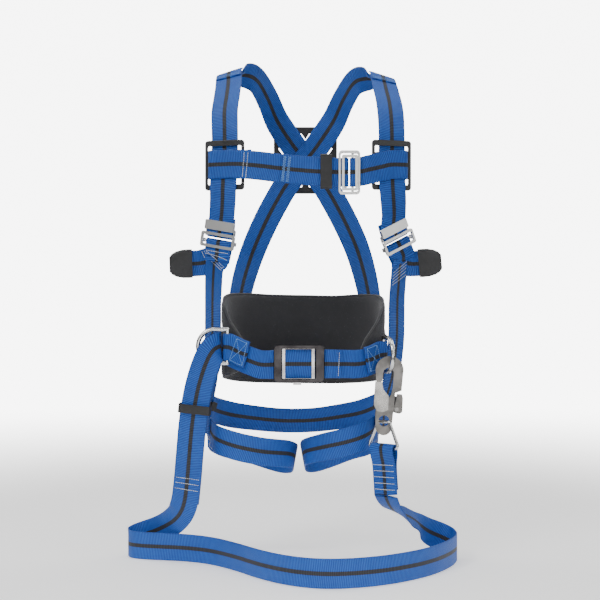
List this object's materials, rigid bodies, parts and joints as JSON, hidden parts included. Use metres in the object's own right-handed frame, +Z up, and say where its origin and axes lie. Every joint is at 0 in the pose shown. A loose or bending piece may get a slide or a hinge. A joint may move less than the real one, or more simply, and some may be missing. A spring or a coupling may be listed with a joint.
{
  "type": "safety harness",
  "caption": "Full-body fall-arrest harness with waist belt, side and back D-rings and a webbing lanyard clipped by a locking snap hook.",
  "frame": {"origin": "centre of the waist belt loop at belt mid-height, where the wearer's waist sits", "axes": "+X to the wearer's left, -Y to the wearer's front, +Z up"},
  "size_m": [0.5473, 0.3897, 0.8318],
  "materials": {
    "webbing": "woven polyester, fine ribs, black centre stripe",
    "pad": "black padded fabric with piped edge",
    "black_plastic": "moulded, satin",
    "rubber_cap": "moulded rubber",
    "black_nickel": "black nickel plate",
    "hook_steel": "zinc plated forged steel",
    "ring_steel": "bright zinc",
    "zinc_plate": "bright zinc plated pressing",
    "spring_steel": "spring wire"
  },
  "bodies": {
    "harness": {"waist_belt_right": "webbing", "waist_belt_left": "webbing", "waist_belt_back": "webbing", "waist_pad": "pad", "waist_buckle_plate": "zinc_plate", "chest_strap_right": "webbing", "chest_strap_middle": "webbing", "chest_strap_left": "webbing", "chest_buckle_plate": "zinc_plate", "dorsal_plate": "black_plastic", "shoulder_strap_right": "webbing", "shoulder_strap_left": "webbing", "side_strap_right": "webbing", "side_strap_left": "webbing", "torso_buckle_frame_right": "zinc_plate", "torso_buckle_frame_left": "zinc_plate", "strap_tail_right": "webbing", "strap_tail_left": "webbing", "tail_cap_right": "rubber_cap", "tail_cap_left": "rubber_cap", "chest_slider_right": "black_plastic", "chest_slider_left": "black_plastic", "d_ring_loop_right": "webbing", "d_ring_loop_left": "webbing", "back_strap_right": "webbing", "back_strap_left": "webbing", "leg_strap_right": "webbing", "leg_strap_left": "webbing", "seat_strap": "webbing", "hip_slider_right": "black_plastic", "hip_slider_left": "black_plastic", "shoulder_hem_right": "webbing", "shoulder_hem_left": "webbing", "lanyard_run": "webbing", "lanyard_ring_end": "ring_steel"},
    "dorsal_ring": {"dorsal_d_ring": "ring_steel"},
    "ring_right": {"side_d_ring_right": "ring_steel"},
    "ring_left": {"side_d_ring_left": "ring_steel"},
    "hook": {"hook_body": "hook_steel", "gate_pin": "hook_steel", "lever_pin": "hook_steel", "gate_spring": "spring_steel", "lever_spring": "spring_steel", "lanyard_hook_end": "webbing"},
    "gate": {"hook_gate": "hook_steel"},
    "lock_lever": {"hook_lock_lever": "hook_steel"},
    "link": {"link_ring": "ring_steel"},
    "waist_frame": {"waist_buckle_frame": "black_nickel"},
    "chest_frame": {"chest_buckle_frame": "zinc_plate"},
    "torso_plate_right": {"torso_buckle_plate_right": "zinc_plate"},
    "torso_plate_left": {"torso_buckle_plate_left": "zinc_plate"},
    "chest_keeper": {"chest_keeper": "black_plastic"},
    "lanyard_keeper": {"lanyard_keeper": "black_plastic"}
  },
  "joints": [
    {"name": "dorsal_ring_swing", "type": "hinge", "parent": "harness", "child": "dorsal_ring", "pos_m": [0, 0.149, 0.352], "axis": [1, 0, 0], "range_deg": [-6, 160]},
    {"name": "ring_right_turn", "type": "hinge", "parent": "harness", "child": "ring_right", "pos_m": [-0.1265, -0.0695, 0.0238], "axis": [0, 0, 1], "range_deg": [-3, 5]},
    {"name": "ring_left_turn", "type": "hinge", "parent": "harness", "child": "ring_left", "pos_m": [0.1255, -0.0618, 0.0105], "axis": [0, 0, 1], "range_deg": [-5, 1]},
    {"name": "hook_swing", "type": "hinge", "parent": "harness", "child": "hook", "pos_m": [0.1319, -0.0865, -0.0165], "axis": [0.2496, -0.9684, 0], "range_deg": [-5, 12]},
    {"name": "gate_hinge", "type": "hinge", "parent": "hook", "child": "gate", "pos_m": [0.11937, -0.0865, -0.07203], "axis": [0, 1, 0], "range_deg": [0, 18], "stiffness_Nm_per_rad": 0.05, "springref_deg": -8.59},
    {"name": "lock_lever_hinge", "type": "hinge", "parent": "hook", "child": "lock_lever", "pos_m": [0.14415, -0.0865, -0.0759], "axis": [0, -1, 0], "range_deg": [0, 5], "stiffness_Nm_per_rad": 0.05, "springref_deg": -8.59},
    {"name": "link_ring_swing", "type": "hinge", "parent": "hook", "child": "link", "pos_m": [0.12409, -0.0865, -0.09595], "axis": [0.769, -0.6392, 0], "range_deg": [-3, 3]},
    {"name": "waist_buckle_tilt", "type": "hinge", "parent": "harness", "child": "waist_frame", "pos_m": [0.021, -0.1021, -0.0025], "axis": [0, 0, 1], "range_deg": [0, 11]},
    {"name": "chest_buckle_tilt", "type": "hinge", "parent": "harness", "child": "chest_frame", "pos_m": [0.0728, -0.1215, 0.298], "axis": [0, 0, 1], "range_deg": [0, 9]},
    {"name": "torso_plate_right_tilt", "type": "hinge", "parent": "harness", "child": "torso_plate_right", "pos_m": [-0.13597, -0.09599, 0.2002], "axis": [0.9005, -0.4002, -0.1701], "range_deg": [0, 15]},
    {"name": "torso_plate_left_tilt", "type": "hinge", "parent": "harness", "child": "torso_plate_left", "pos_m": [0.1418, -0.09372, 0.19746], "axis": [0.7995, 0.4297, 0.4197], "range_deg": [0, 15]},
    {"name": "chest_keeper_slide", "type": "slide", "parent": "harness", "child": "chest_keeper", "axis": [0.9992, 0, -0.04], "range_m": [-0.012, 0.006]},
    {"name": "lanyard_keeper_slide", "type": "slide", "parent": "harness", "child": "lanyard_keeper", "axis": [-0.1003, 0.0602, -0.9931], "range_m": [-0.004, 0.006]}
  ]
}
